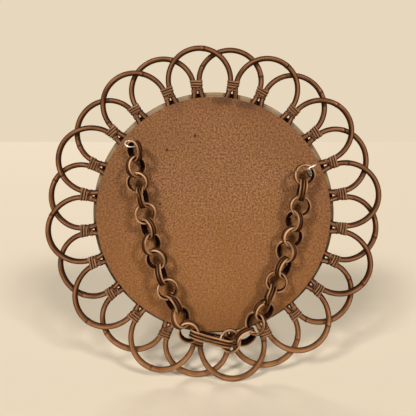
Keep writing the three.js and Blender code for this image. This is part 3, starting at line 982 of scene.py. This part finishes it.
class Nodes:
    """Short ways to add shader nodes to one material."""

    def __init__(self, name):
        self.material = bpy.data.materials.new(name)
        self.material.use_nodes = True
        self.tree = self.material.node_tree
        self.shader = self.tree.nodes["Principled BSDF"]

    def add(self, kind, inputs=(), **settings):
        made = self.tree.nodes.new(kind)
        for key, value in settings.items():
            setattr(made, key, value)
        for key, value in dict(inputs).items():
            self.feed(made.inputs[key], value)
        return made

    def feed(self, socket, value):
        if isinstance(value, bpy.types.NodeSocket):
            self.tree.links.new(value, socket)
        else:
            socket.default_value = value

    def attribute(self, name, output):
        return self.add("ShaderNodeAttribute", attribute_name=name).outputs[output]

    def place(self):
        return self.add("ShaderNodeTexCoord").outputs["Object"]

    def scaled(self, vector, scale, shift=(0, 0, 0)):
        inputs = {"Vector": vector, "Scale": scale, "Location": shift}
        return self.add("ShaderNodeMapping", inputs).outputs["Vector"]

    def noise(self, vector, scale, detail=4, rough=0.55):
        inputs = {"Vector": vector, "Scale": scale, "Detail": detail, "Roughness": rough}
        return self.add("ShaderNodeTexNoise", inputs).outputs["Fac"]

    def span(self, value, low, high, to_low=0.0, to_high=1.0):
        inputs = {0: value, 1: low, 2: high, 3: to_low, 4: to_high}
        return self.add("ShaderNodeMapRange", inputs).outputs[0]

    def sum(self, a, b):
        return self.add("ShaderNodeMath", {0: a, 1: b}, operation="ADD").outputs[0]

    def product(self, a, b):
        return self.add("ShaderNodeMath", {0: a, 1: b}, operation="MULTIPLY").outputs[0]

    def mix(self, share, a, b):
        made = self.add("ShaderNodeMix", data_type="RGBA")
        self.feed(made.inputs[0], share)
        self.feed(made.inputs[6], a)
        self.feed(made.inputs[7], b)
        return made.outputs[2]

    def bump(self, height, depth, strength):
        inputs = {"Height": height, "Distance": depth, "Strength": strength}
        self.feed(self.shader.inputs["Normal"], self.add("ShaderNodeBump", inputs).outputs[0])


def cane_material(name, dark, plain, light, golden, highlight_colour, rough):
    """Smoked and varnished cane: streaks along it, blotches, dark growth rings, painted shade and
    highlights.
    """
    n = Nodes(name)
    straight = n.attribute("straight", "Vector")
    streaks = n.noise(n.scaled(straight, (1, 1, 0.05)), 800, 5, 0.6)
    blotches = n.noise(n.scaled(straight, (1, 1, 0.3)), 60, 4)
    specks = n.noise(straight, 1800, 2)
    colour = n.mix(n.span(streaks, 0.36, 0.64), dark, light)
    colour = n.mix(n.span(blotches, 0.38, 0.62, 0.0, 0.7), colour, plain)
    height = n.add("ShaderNodeSeparateXYZ", {0: n.place()}).outputs[2]
    low = n.span(height, SHADE_FADE_AND_GOLD_FROM, GOLDEN_TO)
    wear_and_highlight = n.product(low, n.span(blotches, 0.35, 0.65, 0.2, 1.0))
    colour = n.mix(n.product(wear_and_highlight, 0.6), colour, golden)
    patches = n.noise(n.scaled(straight, (1, 1, 0.45)), 170, 3)
    colour = n.mix(n.span(patches, 0.5, 0.68, 0, 0.5), colour, plain)
    colour = n.mix(n.span(specks, 0.62, 0.75, 0, 0.55), colour, dark)
    # Above nought the shade attribute darkens the colour: the growth rings, and painted shade
    tone = n.attribute("shade", "Fac")
    colour = n.mix(n.span(tone, 0, 1, 0, 0.97), colour, dark)
    # Below nought it lightens the colour towards the highlight colour: a painted highlight
    painted_light = n.mix(n.span(streaks, 0.35, 0.6), light, highlight_colour)
    colour = n.mix(n.span(tone, 0, -1, 0, 0.85), colour, painted_light)
    n.feed(n.shader.inputs["Base Color"], colour)
    streaked = n.span(streaks, 0.3, 0.7, rough - 0.08, rough + 0.12)
    n.feed(n.shader.inputs["Roughness"], n.sum(streaked, n.span(tone, 0, 1, 0, 0.3)))
    n.shader.inputs["Coat Weight"].default_value = 0.03
    n.shader.inputs["Coat Roughness"].default_value = 0.22
    n.shader.inputs["Specular IOR Level"].default_value = 0.05
    n.bump(n.sum(streaks, n.product(specks, 0.4)), 0.35 * MM, 0.6)
    return n.material


def hardboard_material():
    """Hardboard: pressed fibre, mottled at many sizes, with stains under its top edge, specks and painted
    shade round the screw holes.
    """
    n = Nodes("pressed_hardboard")
    where = n.place()
    fibres = n.noise(where, 620, 4, 0.7)
    flakes = n.noise(where, 330, 3, 0.6)
    clouds = n.noise(where, 11, 3)
    mottle = n.sum(n.product(fibres, 0.5), n.product(flakes, 0.5))
    colour = n.mix(n.span(mottle, 0.41, 0.59), FIBRE_DARK, FIBRE_LIGHT)
    colour = n.mix(n.span(clouds, 0.4, 0.72, 0, 0.3), colour, CLOUD_BROWN)
    tinge = n.noise(where, 30, 3)
    colour = n.mix(n.span(tinge, 0.45, 0.65, 0, 0.16), colour, OLIVE_TINGE)
    colour = n.mix(n.span(tinge, 0.55, 0.35, 0, 0.12), colour, RED_TINGE)
    chips = n.noise(n.scaled(where, (1, 1, 1), (0.3, 0, 0.1)), 420, 1)
    colour = n.mix(n.span(chips, 0.72, 0.78, 0, 0.6), colour, PALE_CHIP)
    height = n.add("ShaderNodeSeparateXYZ", {0: where}).outputs[2]
    colour = n.mix(n.span(height, *WARM_BAND, 0.42, 0), colour, WARM_BROWN)
    from_middle = n.add("ShaderNodeVectorMath", {0: where}, operation="LENGTH").outputs["Value"]
    colour = n.mix(n.span(from_middle, *DARK_BAND, 0, 0.34), colour, RIM_BROWN)
    stains = n.product(n.span(height, *STAIN_BAND), n.span(clouds, 0.42, 0.6))
    colour = n.mix(n.product(stains, 0.6), colour, STAIN_BROWN)
    grains = n.noise(where, 120, 1)
    colour = n.mix(n.span(grains, 0.8, 0.84, 0, 0.8), colour, SPECK_BLACK)
    # The screw holes get painted shade round them, put on like the specks and smudges
    feet = [shank_foot(binding) / MM for binding in (LEFT_BINDING, RIGHT_BINDING)]
    holes = [(foot[0], foot[2], *HOLE_SHADE) for foot in feet]
    for x, z, reach, strength in SPECKS + SMUDGES + holes:
        spot = (x * MM, 0, z * MM)
        off = n.add("ShaderNodeVectorMath", {0: where, 1: spot}, operation="DISTANCE")
        blot = n.span(off.outputs["Value"], 0.5 * reach * MM, reach * MM, strength, 0)
        colour = n.mix(n.product(blot, n.span(flakes, 0.3, 0.55, 0.55, 1)), colour, SPECK_BLACK)
    n.feed(n.shader.inputs["Base Color"], colour)
    n.feed(n.shader.inputs["Roughness"], n.span(flakes, 0.3, 0.7, 0.72, 0.92))
    n.shader.inputs["Specular IOR Level"].default_value = 0.15
    n.bump(mottle, 0.7 * MM, 0.7)
    return n.material


def hoop_material():
    """The hoop's cane: pale and dusty behind, brown and varnished in front, ribbed along its length."""
    n = Nodes("hoop_cane")
    straight = n.attribute("straight", "Vector")
    ribs = n.noise(n.scaled(straight, (1, 1, 0.012)), 900, 4, 0.6)
    patches = n.noise(n.scaled(straight, (1, 1, 0.4)), 40, 3)
    depth = n.add("ShaderNodeSeparateXYZ", {0: n.place()}).outputs[1]
    pale = n.mix(n.span(ribs, 0.35, 0.65), *PALE_RIBS)
    pale = n.mix(n.span(patches, 0.4, 0.7, 0, 0.4), pale, DUST)
    brown = n.mix(n.span(ribs, 0.35, 0.65), *BROWN_RIBS)
    colour = n.mix(n.span(depth, *PALE_BAND), brown, pale)
    # Painted shade on the back of the hoop, round the feet and along its lower half
    painted_hoop_shade = n.span(n.attribute("shade", "Fac"), 0, 0.8, 0, 0.95)
    colour = n.mix(n.product(painted_hoop_shade, n.span(depth, *HOOP_SHADE_BAND)), colour, HOOP_SHADE_BLACK)
    n.feed(n.shader.inputs["Base Color"], colour)
    n.feed(n.shader.inputs["Roughness"], n.span(patches, 0.3, 0.7, 0.42, 0.62))
    n.shader.inputs["Specular IOR Level"].default_value = 0.3
    n.bump(ribs, 0.6 * MM, 0.7)
    return n.material


def steel_material():
    """Bright wire with a little grey painted shade in the thread's hollows."""
    n = Nodes("bright_wire")
    scratches = n.noise(n.scaled(n.attribute("straight", "Vector"), (1, 1, 0.1)), 2500, 3)
    hollow_shade = n.attribute("shade", "Fac")
    colour = n.mix(n.span(scratches, 0.3, 0.7), *STEEL_SHADES)
    colour = n.mix(hollow_shade, colour, STEEL_HOLLOW_SHADE)
    n.feed(n.shader.inputs["Base Color"], colour)
    n.feed(n.shader.inputs["Roughness"], n.span(scratches, 0.3, 0.7, 0.2, 0.42))
    n.shader.inputs["Metallic"].default_value = 0.7
    return n.material


def glass_material():
    """Silvered glass, clean but for the faintest haze."""
    n = Nodes("silvered_glass")
    haze = n.noise(n.place(), 9, 4)
    colour = n.mix(n.span(haze, 0.3, 0.7), *GLASS_SHADES)
    n.feed(n.shader.inputs["Base Color"], colour)
    n.feed(n.shader.inputs["Roughness"], n.span(haze, 0.35, 0.7, 0.015, 0.05))
    n.shader.inputs["Metallic"].default_value = 1.0
    return n.material


# The object

# Each highlight colour below is the colour of that cane's painted highlight
smoked = cane_material(
    "smoked_cane",
    dark=(0.006, 0.001, 0.0005, 1),
    plain=(0.045, 0.011, 0.002, 1),
    light=(0.155, 0.053, 0.015, 1),
    golden=(0.4, 0.2, 0.08, 1),
    highlight_colour=(0.46, 0.235, 0.12, 1),
    rough=0.34,
)
split = cane_material(
    "split_cane",
    dark=(0.006, 0.001, 0.0005, 1),
    plain=(0.085, 0.03, 0.011, 1),
    light=(0.3, 0.145, 0.07, 1),
    golden=(0.3, 0.15, 0.06, 1),
    highlight_colour=(0.5, 0.29, 0.17, 1),
    rough=0.4,
)
linked = cane_material(
    "chain_cane",
    dark=(0.007, 0.001, 0.0005, 1),
    plain=(0.05, 0.014, 0.003, 1),
    light=(0.16, 0.058, 0.014, 1),
    golden=(0.2, 0.09, 0.025, 1),
    highlight_colour=(0.76, 0.46, 0.26, 1),
    rough=0.36,
)
steel = steel_material()

build_board(hardboard_material())
build_hoop(hoop_material())
build_glass(glass_material())
for loop in range(LOOP_COUNT):
    build_loop(loop, smoked)
    build_binding(loop, split)
build_chain("chain_left", -1, linked)
build_chain("chain_right", 1, linked)
build_long_link(linked)
build_eye("screw_eye_left", -1, LEFT_BINDING, 130, (0.2, 0.5, 0.85), 1, steel)
build_eye("screw_eye_right", 1, RIGHT_BINDING, 60, (-0.44, -0.13, 0.89), -1, steel)


# Floor, light and camera


def build_floor():
    """A plain pale floor that the mirror stands on, with nothing else in sight."""
    low = cad_box[0].z - FLOOR_GAP
    corners = [(x * FLOOR_REACH, y * FLOOR_REACH, low) for x, y in ((-1, -1), (1, -1), (1, 1), (-1, 1))]
    mesh = bpy.data.meshes.new("floor")
    mesh.from_pydata(corners, [], [(0, 1, 2, 3)])
    floor = bpy.data.objects.new("floor", mesh)
    bpy.context.scene.collection.objects.link(floor)
    material = bpy.data.materials.new("pale_floor")
    material.use_nodes = True
    shader = material.node_tree.nodes["Principled BSDF"]
    shader.inputs["Base Color"].default_value = FLOOR_COLOUR
    shader.inputs["Roughness"].default_value = 0.9
    mesh.materials.append(material)


def add_sun(name, source, softness, power, colour):
    """A lamp so far off that it lights the whole floor alike. Its softness is its width in degrees."""
    lamp = bpy.data.lights.new(name, "SUN")
    lamp.energy = power
    lamp.angle = math.radians(softness)
    lamp.color = colour
    holder = bpy.data.objects.new(name, lamp)
    holder.rotation_euler = (-Vector(source)).to_track_quat("-Z", "Y").to_euler()
    bpy.context.scene.collection.objects.link(holder)


def build_light():
    """Two soft lamps above the viewer's shoulders, a weak one for the front, and a pale sky.

    The sky is bright to the eye and weaker as a light on the mirror, by a cut for each kind of ray.
    """
    add_sun("lamp_left", (0.45, 0.68, 0.58), 10, 2.65, LAMP_COLOUR)
    add_sun("lamp_right", (-0.5, 0.68, 0.56), 10, 2.25, LAMP_COLOUR)
    add_sun("lamp_front", (0.3, -0.8, 0.6), 30, 1.4, FRONT_COLOUR)
    world = bpy.data.worlds.new("pale_sky")
    world.use_nodes = True
    tree = world.node_tree
    sky = tree.nodes["Background"]
    sky.inputs["Color"].default_value = SKY_COLOUR
    rays = tree.nodes.new("ShaderNodeLightPath")
    strength = None
    for ray, cut in SKY_CUTS.items():
        less = tree.nodes.new("ShaderNodeMath")
        less.operation = "MULTIPLY_ADD"
        tree.links.new(rays.outputs[ray], less.inputs[0])
        less.inputs[1].default_value = -cut
        less.inputs[2].default_value = 1.0
        if strength:
            tree.links.new(strength, less.inputs[2])
        strength = less.outputs[0]
    tree.links.new(strength, sky.inputs["Strength"])
    bpy.context.scene.world = world


def build_camera():
    """The photograph's viewpoint: nearly level, behind the mirror and above its middle."""
    data = bpy.data.cameras.new("camera")
    data.sensor_width = 36
    data.lens = CAMERA_LENS
    data.shift_x, data.shift_y = CAMERA_SHIFT
    camera = bpy.data.objects.new("camera", data)
    camera.location = CAMERA_PLACE
    camera.rotation_euler = (math.pi / 2 - CAMERA_DIP, 0, math.pi)
    bpy.context.scene.collection.objects.link(camera)
    bpy.context.scene.camera = camera


build_floor()
build_light()
build_camera()
bpy.context.scene.view_settings.view_transform = "Standard"
